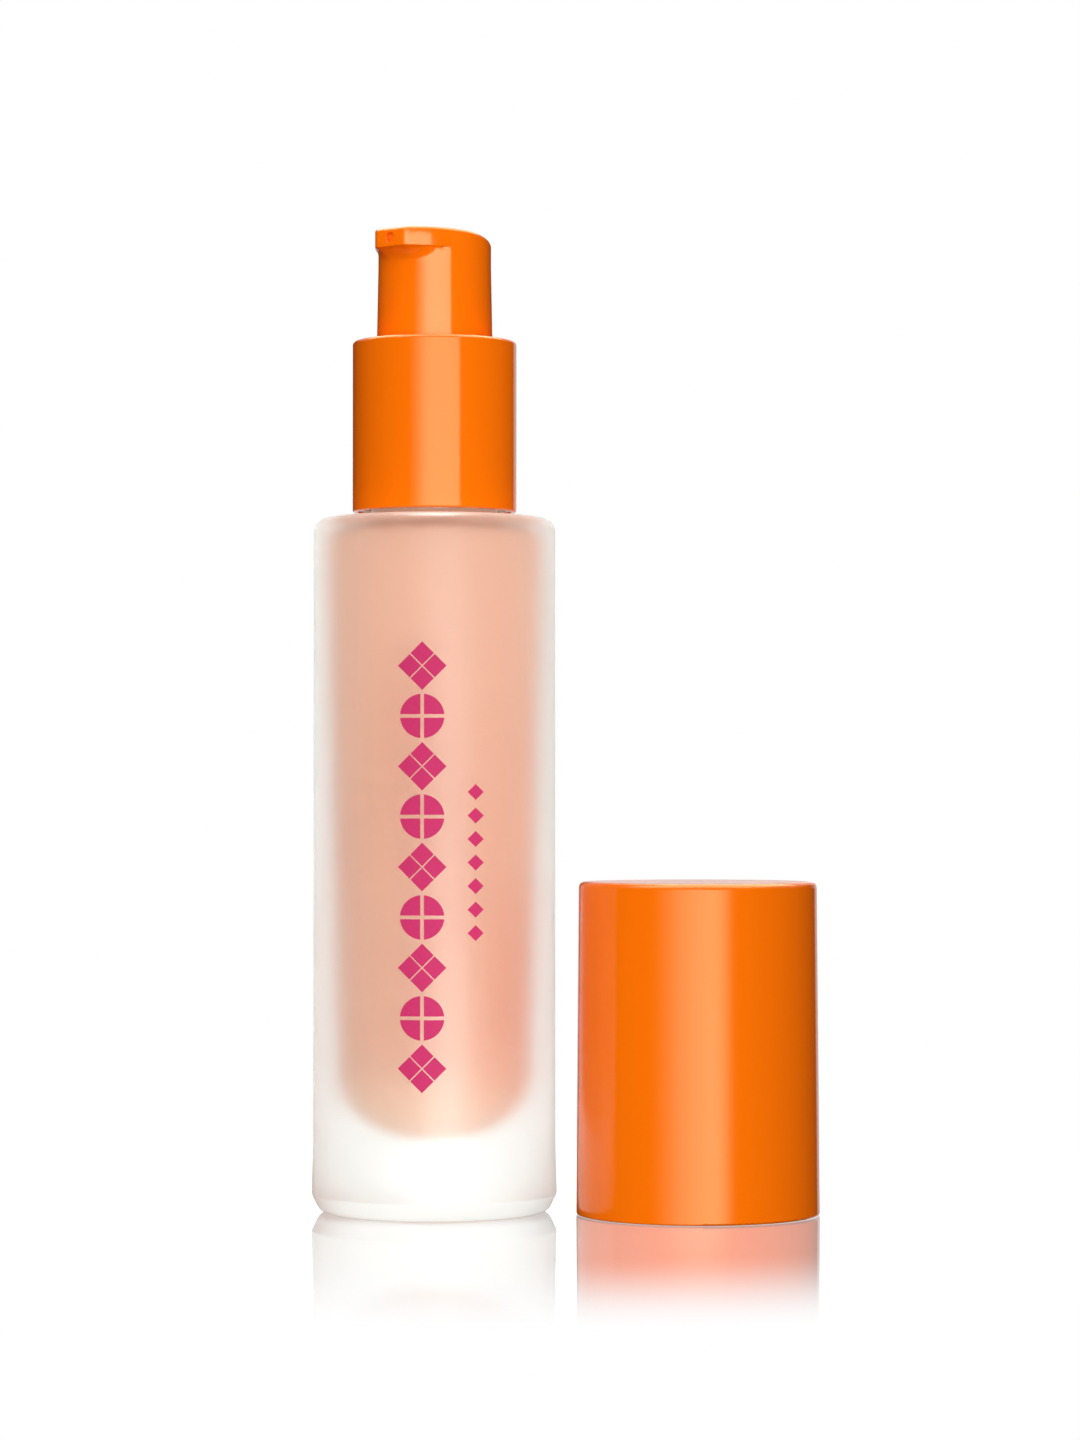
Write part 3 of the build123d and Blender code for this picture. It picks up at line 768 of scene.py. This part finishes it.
def softbox(name, toward, azimuths, distance, height, middle, radiance, colour=(1, 1, 1)):
    """A soft light between two azimuths, in degrees from -Y towards +X, upright and facing an axis."""
    start, end = azimuths
    turn = math.radians((start + end) / 2)
    width = 2 * distance * math.tan(math.radians((end - start) / 2))
    location = (toward[0] + distance * math.sin(turn), toward[1] - distance * math.cos(turn), middle)
    return panel(name, location, math.radians(90), turn, (width, height), radiance, colour)


def shape_strip(lamp, rise, fall=1.0):
    """Let a lamp's light rise over the first share of its width, and die away again past a second."""
    lamp.data.use_nodes = True
    nodes = lamp.data.node_tree.nodes
    links = lamp.data.node_tree.links
    geometry = nodes.new("ShaderNodeNewGeometry")
    split = nodes.new("ShaderNodeSeparateXYZ")
    links.new(geometry.outputs["Parametric"], split.inputs[0])
    level = smooth_range(nodes, links, split.outputs["X"], 0.0, rise, 0.0, 1.0)
    if fall < 1.0:
        falling = smooth_range(nodes, links, split.outputs["X"], fall, 1.0, 1.0, 0.0)
        both = nodes.new("ShaderNodeMath")
        both.operation = "MULTIPLY"
        links.new(level, both.inputs[0])
        links.new(falling, both.inputs[1])
        level = both.outputs["Value"]
    links.new(level, nodes["Emission"].inputs["Strength"])


def light_only(lamp, pieces, shows_in):
    """Let a light reach only these pieces, as colour ("diffuse") or as a reflection ("glossy")."""
    group = bpy.data.collections.new(lamp.name + "_pieces")
    for piece in pieces:
        group.objects.link(piece)
    lamp.light_linking.receiver_collection = group
    lamp.visible_diffuse = shows_in == "diffuse"
    lamp.visible_transmission = shows_in == "diffuse"
    lamp.visible_glossy = shows_in == "glossy"


def lit_box(name, toward, azimuths, box, radiance, colour, pieces, shows_in):
    """A softbox of (distance, height, middle) whose light reaches only some pieces, in one way."""
    distance, height, middle = box
    lamp = softbox(name, toward, azimuths, distance, height, middle, radiance, colour)
    light_only(lamp, pieces, shows_in)
    return lamp


def make_lights(floor):
    """Frontal lights for colour, and softboxes that only show as reflections."""
    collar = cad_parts["collar_sleeve"]
    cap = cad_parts["overcap_shell"]
    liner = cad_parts["overcap_liner"]
    axis = (0, 0)
    cap_axis = centre_of("overcap_shell")
    white_light = (1, 1, 1)

    # Colour of the orange mouldings, from the front and from behind
    warm = (1, 1.06, 0.9)
    high_box = (0.9, 0.6, 0.12)
    low_box = (0.9, 0.6, 0.05)
    behind = (166, 194)
    lit_box("front_collar", axis, (-16, 26), high_box, 5.5, warm, [collar], "diffuse")
    lit_box("front_head", axis, (-20, 22), high_box, 6.2, warm, [pump_head], "diffuse")
    lit_box("front_cap", cap_axis, (-24, 14), low_box, 5.6, warm, [cap, liner], "diffuse")
    lit_box("back_head", axis, behind, high_box, 7.0, white_light, [collar, pump_head], "diffuse")
    lit_box("back_cap", cap_axis, behind, low_box, 7.0, white_light, [cap], "diffuse")

    # Colour of the glass and of what it holds
    shading = bpy.data.collections.new("glass_shading")
    shading.objects.link(bottle)
    front_glass = softbox(
        "front_glass", axis, (-5, 32), distance=0.6, height=0.36, middle=-0.12, radiance=10.7)
    top_glass = panel("top_glass", (0, 0.018, 0.2), tilt=0, turn=0, size=(0.034, 0.07), radiance=34.0)
    low_glass = softbox("low_glass", axis, (-15, 80), distance=0.06, height=0.03, middle=-0.015, radiance=6.4)
    light_only(front_glass, pale_pieces, "diffuse")
    light_only(top_glass, pale_pieces, "diffuse")
    light_only(low_glass, [bottle, liquid], "diffuse")
    for lamp in (front_glass, top_glass, low_glass):
        lamp.light_linking.blocker_collection = shading

    # Reflections along the sides of the glass, and beside the mouldings
    edge_tint = (0.8, 1, 1)
    lit_box("left_edge", axis, (-175, -110), (0.6, 0.42, 0.18), 1.2, edge_tint, [bottle], "glossy")
    lit_box("right_edge", axis, (115, 175), (0.6, 0.38, 0.21), 0.8, edge_tint, [bottle], "glossy")
    lit_box("side_card", axis, (148, 172), (0.7, 0.9, 0.1), 0.75, white_light, [collar, cap], "glossy")

    # Highlights down the orange mouldings, and along their upper rims
    tint = (0.8, 1, 0.56)
    head_tint = (0.8, 1, 0.65)
    head_strip = lit_box(
        "head_strip", axis, (-42, 34), (0.7, 0.5, 0.04), 10.2, head_tint, [pump_head], "glossy")
    shape_strip(head_strip, rise=0.52)
    collar_strip = lit_box(
        "collar_strip", axis, (-36, 36.5), (0.7, 0.5, -0.01), 7.8, tint, [collar], "glossy")
    shape_strip(collar_strip, rise=0.5)
    cap_strip = lit_box("cap_strip", cap_axis, (-48, 34), (0.7, 0.4, -0.11), 8.2, tint, [cap], "glossy")
    shape_strip(cap_strip, rise=0.72, fall=0.72)
    rim_box = panel("rim_box", (0.02, 0, 1.06), tilt=0, turn=0, size=(2.4, 2.0), radiance=8.0, colour=tint)
    light_only(rim_box, [collar, pump_head, cap], "glossy")

    # White that the floor mirrors all round
    for quarter in range(4):
        sides = (90 * quarter - 45, 90 * quarter + 45)
        name = f"floor_card_{quarter}"
        lit_box(name, axis, sides, (2.5, 3.2, 1.3), 1.0, white_light, [floor], "glossy")


make_world()
make_lights(make_floor())

scene = bpy.context.scene
scene.view_settings.view_transform = "Standard"

camera_data = bpy.data.cameras.new("camera")
camera_data.sensor_width = SENSOR
camera_data.lens = LENS
camera_data.clip_start = 0.01
camera = bpy.data.objects.new("camera", camera_data)
scene.collection.objects.link(camera)
camera.location = CAMERA_PLACE
camera.rotation_euler = (CAMERA_TILT, 0, 0)
scene.camera = camera
